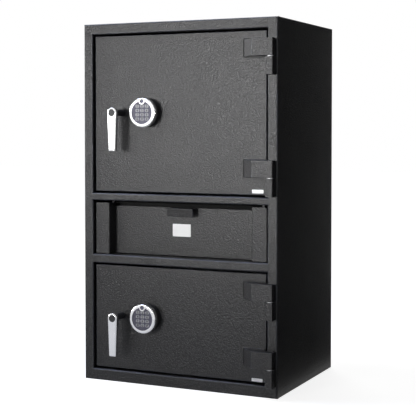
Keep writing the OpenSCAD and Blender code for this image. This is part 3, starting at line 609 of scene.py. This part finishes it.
for door in doors:
    leverLow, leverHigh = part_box(door + "_lever")
    halfHead = (leverHigh.x - leverLow.x) / 2
    axis = Vector((leverLow.x + halfHead, 0.0, leverHigh.z - halfHead))

    def offBore(point):
        return (point - axis).xz.length > handle["boreRadius"] * mm

    lever = softenNode(door + "_lever", *handle["leverRound"], sharpAngle=handle["leverAngle"], keep=offBore)
    putNode(door + "_lever", lever)
    # The whole cap goes back, and its middle comes forward again
    shaft = softenNode(door + "_spindle", *handle["shaftRound"])
    capFaces = facesAtFront(shaft, min(vert.co.y for vert in shaft.verts))
    capVerts = list({vert for face in capFaces for vert in face.verts})
    capSink = handle["capSink"] * mm
    bmesh.ops.translate(shaft, verts=capVerts, vec=(0.0, capSink, 0.0))
    bmesh.ops.inset_region(shaft, faces=capFaces, thickness=handle["capRim"] * mm, use_even_offset=True)
    bmesh.ops.inset_region(shaft, faces=capFaces, thickness=handle["capStep"] * mm, depth=capSink,
                           use_even_offset=True)
    putNode(door + "_spindle", shaft)
print("handles made")


# Keypads: the face is cut from the housing's own front, so that the keys' holes match

keypad = {"ringRound": (0.5, 2), "housingRound": (0.8, 2), "housingShortest": 2.0, "keyHolesWithin": 30.0,
          "faceRadius": 31.3, "faceThickness": 0.35, "faceSides": 48, "keyRound": (0.7, 3),
          "keyAngle": 50.0, "figureSize": 8.8, "starSize": 15.0, "figureThickness": 0.05,
          "figureWeight": 0.12, "lensWidth": 7.4, "lensHeight": 2.6, "lensSides": 40,
          "lensRound": (1.4, 5), "lampStep": 31.25}


# A thin layer on the housing's front, cut round by many straight cuts
def makeKeypadFace(housing, centre):
    bm = copyNode(housing)
    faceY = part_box(housing)[0].y
    front = set(facesAtFront(bm, faceY))
    bmesh.ops.delete(bm, geom=[face for face in bm.faces if face not in front], context="FACES")
    radius = keypad["faceRadius"] * mm
    for step in range(keypad["faceSides"]):
        angle = 2 * math.pi * step / keypad["faceSides"]
        outward = Vector((math.cos(angle), 0.0, math.sin(angle)))
        bmesh.ops.bisect_plane(bm, geom=bm.verts[:] + bm.edges[:] + bm.faces[:], clear_outer=True,
                               plane_co=centre + outward * radius, plane_no=outward)
    made = bmesh.ops.extrude_face_region(bm, geom=bm.faces[:])["geom"]
    for vert in newVerts(made):
        vert.co.y = faceY - keypad["faceThickness"] * mm
    bmesh.ops.recalc_face_normals(bm, faces=bm.faces)
    return bm


# The small domed lamp in the ring's notch
def makeLens(seat):
    lens = bmesh.new()
    radius = keypad["lensWidth"] / 2 * mm
    bmesh.ops.create_cone(lens, cap_ends=True, segments=keypad["lensSides"], radius1=radius,
                          radius2=radius, depth=keypad["lensHeight"] * mm)
    top = [edge for edge in lens.edges if min(vert.co.z for vert in edge.verts) > 0]
    roundEdges(lens, top, *keypad["lensRound"])
    turn = Matrix.Rotation(math.radians(90.0), 4, "X")
    bmesh.ops.transform(lens, matrix=Matrix.Translation(seat) @ turn, verts=lens.verts)
    return lens


# A figure on a key, with its middle on the key's middle
def addFigure(name, text, centre, frontOfKey, body):
    curve = bpy.data.curves.new(name, "FONT")
    curve.body = text
    curve.size = keypad["starSize" if text == "*" else "figureSize"] * mm
    curve.extrude = keypad["figureThickness"] * mm
    curve.offset = keypad["figureWeight"] * mm
    writing = bpy.data.objects.new(name + "Curve", curve)
    scene.collection.objects.link(writing)
    bpy.context.view_layer.update()
    outline = bpy.data.meshes.new_from_object(writing.evaluated_get(bpy.context.evaluated_depsgraph_get()))
    bpy.data.objects.remove(writing)
    outline.transform(Matrix.Rotation(math.radians(90.0), 4, "X"))
    across = [vert.co.x for vert in outline.vertices]
    upward = [vert.co.z for vert in outline.vertices]
    middle = Vector(((min(across) + max(across)) / 2, 0.0, (min(upward) + max(upward)) / 2))
    outline.transform(Matrix.Translation(Vector((centre.x, frontOfKey, centre.z)) - middle))
    bm = bmesh.new()
    bm.from_mesh(outline)
    bpy.data.meshes.remove(outline)
    addPiece(name, bm, "key_print", body)


for door in doors:
    housing = door + "_keypad_housing"
    housingLow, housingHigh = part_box(housing)
    centre = (housingLow + housingHigh) / 2

    def offKeyHoles(point):
        return (point - centre).xz.length > keypad["keyHolesWithin"] * mm

    putNode(door + "_keypad_ring", softenNode(door + "_keypad_ring", *keypad["ringRound"]))
    putNode(housing, softenNode(housing, *keypad["housingRound"], shortest=keypad["housingShortest"],
                                keep=offKeyHoles))
    addPiece(door + "KeypadFace", makeKeypadFace(housing, centre), "keypad_face", door + "_door")
    lensY = housingLow.y - keypad["lensHeight"] / 2 * mm
    lensSeat = Vector((centre.x, lensY, centre.z + keypad["lampStep"] * mm))
    addPiece(door + "LampLens", makeLens(lensSeat), "lamp_lens", door + "_door")
    for key, figure in keyFigures.items():
        keyNode = door + "_key_" + key
        putNode(keyNode, softenNode(keyNode, *keypad["keyRound"], sharpAngle=keypad["keyAngle"]))
        keyLow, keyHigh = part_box(keyNode)
        addFigure(camel(keyNode) + "Figure", figure, (keyLow + keyHigh) / 2, keyLow.y, keyNode)
print("keypads made")


# Drawer and drop chamber

# For each piece: the rounding, its segments, and the shortest edge that is rounded
drawer = {"drawer_front": (0.7, 2, 1.0), "drawer_tray": (0.5, 2, 4.0), "drawer_pull": (0.8, 3, 0.0),
          "drop_flap": (0.5, 2, 4.0), "flap_rod": (0.5, 2, 0.0)}

for nodeName, (width, segments, shortest) in drawer.items():
    putNode(nodeName, softenNode(nodeName, width, segments, shortest=shortest))
print("drawer made")


# White plates, left bare

plates = {"thickness": 0.8, "cornerRound": (1.5, 4), "rimRound": (0.25, 2), "rimAngle": 60.0,
          "places": {
              "drawerPlate": ((-34.0, 42.0, 411.2), (21.0, 42.0, 446.0), "drawer"),
              "upperDoorTag": ((218.0, 7.0, 538.2), (251.0, 7.0, 548.2), "upper_door"),
              "lowerDoorTag": ((217.5, 7.0, 39.5), (249.0, 7.0, 48.5), "lower_door")}}

for name, (lowCorner, highCorner, body) in plates["places"].items():
    low = at(*lowCorner)
    high = at(*highCorner)
    low.y -= plates["thickness"] * mm
    size = high - low
    middle = (low + high) / 2
    bm = bmesh.new()
    bmesh.ops.create_cube(bm, size=1.0, matrix=Matrix.Translation(middle) @ Matrix.Diagonal((*size, 1.0)))
    corners = [edge for edge in bm.edges if abs(edge.verts[0].co.y - edge.verts[1].co.y) > size.y / 2]
    roundEdges(bm, corners, *plates["cornerRound"])
    rim = [edge for edge in bm.edges
           if max(vert.co.y for vert in edge.verts) < middle.y and isSharp(edge, plates["rimAngle"])]
    roundEdges(bm, rim, *plates["rimRound"])
    addPiece(name, bm, "white_plate", body)
print("plates made")


# Studio: a pale floor that keeps the shadow, a white surround, soft lamps, and two black sheets

studio = {
    "floorSize": 14.0, "floorColour": (0.50, 0.50, 0.50, 1.0), "sheetColour": (0.01, 0.01, 0.01, 1.0),
    "roughness": 0.9, "ambient": 0.035, "surround": 1.0,
    "seenLift": {"From Min": 1.3, "From Max": 4.5, "To Min": 0.86, "To Max": 1.0},
    "shineLift": {"From Min": 1.1, "From Max": 2.4, "To Min": 0.42, "To Max": 0.92},
    "card": {"side": (0.32, 2.6), "front": -0.5, "back": 0.50, "height": 2.2, "lift": 0.003},
    "flag": {"middle": (-0.52, -2.45), "width": 1.4, "top": 0.51, "foot": 0.01},
    "lamps": {
        "keyLamp": {"place": (-0.85, -3.9, 0.76), "aim": (-0.1, -0.2, 1.02), "size": (0.7, 0.55),
                    "spread": 44.0, "power": 8.2},
        "lowLamp": {"place": (-0.55, -2.2, 0.25), "aim": (0.15, -0.22, 0.03), "size": (0.3, 0.3),
                    "spread": 36.0, "power": 0.3, "glossy": False},
        "sheenLamp": {"place": (-2.25, -3.8, 1.35), "aim": (0.0, -0.2, 0.9), "size": (2.4, 1.6),
                      "spread": 120.0, "power": 7.0},
        "sideLamp": {"place": (-3.2, -0.45, 1.3), "aim": (0.2, -0.25, 0.85), "size": (1.1, 1.1),
                     "spread": 90.0, "power": 18.0},
        "topLamp": {"place": (-1.1, -0.50, 2.8), "aim": (0.0, -0.45, 0.5), "size": (0.5, 1.6),
                    "spread": 120.0, "power": 18.0, "colour": (0.66, 0.74, 1.0)},
        "backLamp": {"place": (-0.9, 2.9, 3.4), "aim": (0.0, 0.0, 0.5), "size": (2.2, 1.6),
                     "spread": 150.0, "power": 38.0}}}


# A matt surface without shine
def stageMaterial(name, colour):
    material = bpy.data.materials.new(name)
    material.use_nodes = True
    shader = material.node_tree.nodes["Principled BSDF"]
    shader.inputs["Base Color"].default_value = colour
    shader.inputs["Roughness"].default_value = studio["roughness"]
    shader.inputs["Specular IOR Level"].default_value = 0.0
    return material


def stageObject(name, bm, material):
    surface = bpy.data.meshes.new(name)
    bm.to_mesh(surface)
    bm.free()
    surface.materials.append(material)
    made = bpy.data.objects.new(name, surface)
    scene.collection.objects.link(made)
    return made


# A black sheet that only some rays see: those named stay blind to it
def addSheet(name, bm, blind):
    made = stageObject(name, bm, stageMaterial(name, studio["sheetColour"]))
    for ray in blind:
        setattr(made, "visible_" + ray, False)


# The camera and the reflections see the floor brighter than it is, and brightest far away
def addFloor():
    material = stageMaterial("studioPaper", studio["floorColour"])
    tree = material.node_tree
    where = addNode(tree, "ShaderNodeTexCoord").outputs["Object"]
    reach = addNode(tree, "ShaderNodeVectorMath", {0: where}, operation="LENGTH").outputs["Value"]
    path = addNode(tree, "ShaderNodeLightPath").outputs
    fades = {}
    for name in ("seenLift", "shineLift"):
        fades[name] = addNode(tree, "ShaderNodeMapRange", {"Value": reach, **studio[name]},
                              interpolation_type="SMOOTHSTEP").outputs["Result"]
    through = addNode(tree, "ShaderNodeMath", {0: path["Is Camera Ray"], 1: path["Is Transmission Ray"]},
                      operation="MAXIMUM").outputs[0]
    seen = addNode(tree, "ShaderNodeMath", {0: through, 1: fades["seenLift"]},
                   operation="MULTIPLY").outputs[0]
    shine = addNode(tree, "ShaderNodeMath", {0: path["Is Glossy Ray"], 1: fades["shineLift"]},
                    operation="MULTIPLY").outputs[0]
    lift = addNode(tree, "ShaderNodeMath", {0: seen, 1: shine}, operation="ADD").outputs[0]
    shader = tree.nodes["Principled BSDF"]
    shader.inputs["Emission Color"].default_value = (1.0, 1.0, 1.0, 1.0)
    tree.links.new(lift, shader.inputs["Emission Strength"])
    bm = bmesh.new()
    bmesh.ops.create_grid(bm, x_segments=1, y_segments=1, size=studio["floorSize"])
    stageObject("studioFloor", bm, material)


# A card lies on the floor on the camera's right and stands up behind. Only reflections see it, and it keeps
# that side dark
def addCard():
    card = studio["card"]
    bm = bmesh.new()
    near, far = card["side"]
    places = ((near, card["front"], card["lift"]), (far, card["front"], card["lift"]),
              (far, card["back"], card["lift"]), (near, card["back"], card["lift"]))
    floorPart = bm.faces.new([bm.verts.new(place) for place in places])
    rear = [edge for edge in floorPart.edges if all(vert.co.y == card["back"] for vert in edge.verts)]
    raised = bmesh.ops.extrude_edge_only(bm, edges=rear)["geom"]
    for vert in newVerts(raised):
        vert.co.z = card["height"]
    addSheet("studioCard", bm, ("camera", "diffuse", "transmission", "shadow"))


# A low flag near the key lamp takes some of its light off the foot of the safe, and only shades
def addFlag():
    flag = studio["flag"]
    middle = Vector(flag["middle"])
    fromLamp = middle - Vector(studio["lamps"]["keyLamp"]["place"]).xy
    across = fromLamp.orthogonal().normalized() * flag["width"] / 2
    bm = bmesh.new()
    ends = [bm.verts.new((end.x, end.y, flag["top"])) for end in (middle - across, middle + across)]
    lowered = bmesh.ops.extrude_edge_only(bm, edges=[bm.edges.new(ends)])["geom"]
    for vert in newVerts(lowered):
        vert.co.z = flag["foot"]
    addSheet("studioFlag", bm, ("camera", "diffuse", "glossy", "transmission"))


# The surround is white, but lights the safe only a little
def addWorld():
    world = bpy.data.worlds.new("studioSurround")
    world.use_nodes = True
    scene.world = world
    tree = world.node_tree
    background = tree.nodes["Background"]
    background.inputs["Color"].default_value = (1.0, 1.0, 1.0, 1.0)
    path = addNode(tree, "ShaderNodeLightPath").outputs
    strength = addNode(tree, "ShaderNodeMix", {"Factor": path["Is Diffuse Ray"], "A": studio["surround"],
                                               "B": studio["ambient"]})
    tree.links.new(strength.outputs["Result"], background.inputs["Strength"])


def addLamp(name, lamp):
    light = bpy.data.lights.new(name, "AREA")
    light.shape = "RECTANGLE"
    light.size, light.size_y = lamp["size"]
    light.energy = lamp["power"]
    light.color = lamp.get("colour", (1.0, 1.0, 1.0))
    light.spread = math.radians(lamp["spread"])
    holder = bpy.data.objects.new(name, light)
    holder.location = lamp["place"]
    beam = Vector(lamp["aim"]) - Vector(lamp["place"])
    holder.rotation_euler = beam.to_track_quat("-Z", "Y").to_euler()
    holder.visible_glossy = lamp.get("glossy", True)
    scene.collection.objects.link(holder)


addFloor()
addCard()
addFlag()
addWorld()
for name, lamp in studio["lamps"].items():
    addLamp(name, lamp)
print("studio made")


# Camera, solved from the cabinet's edges in the photograph

view = {"focalLength": 96.426, "sensorWidth": 36.0, "shiftUp": -0.1034,
        "place": (1.3589, -2.9138, 0.7123), "tilt": 88.058, "turn": 25.150}

cameraData = bpy.data.cameras.new("photoCamera")
cameraData.lens = view["focalLength"]
cameraData.sensor_width = view["sensorWidth"]
cameraData.shift_y = view["shiftUp"]
photoCamera = bpy.data.objects.new("photoCamera", cameraData)
photoCamera.location = view["place"]
photoCamera.rotation_euler = (math.radians(view["tilt"]), 0.0, math.radians(view["turn"]))
scene.collection.objects.link(photoCamera)
scene.camera = photoCamera
scene.view_settings.view_transform = "Standard"
print("camera set")
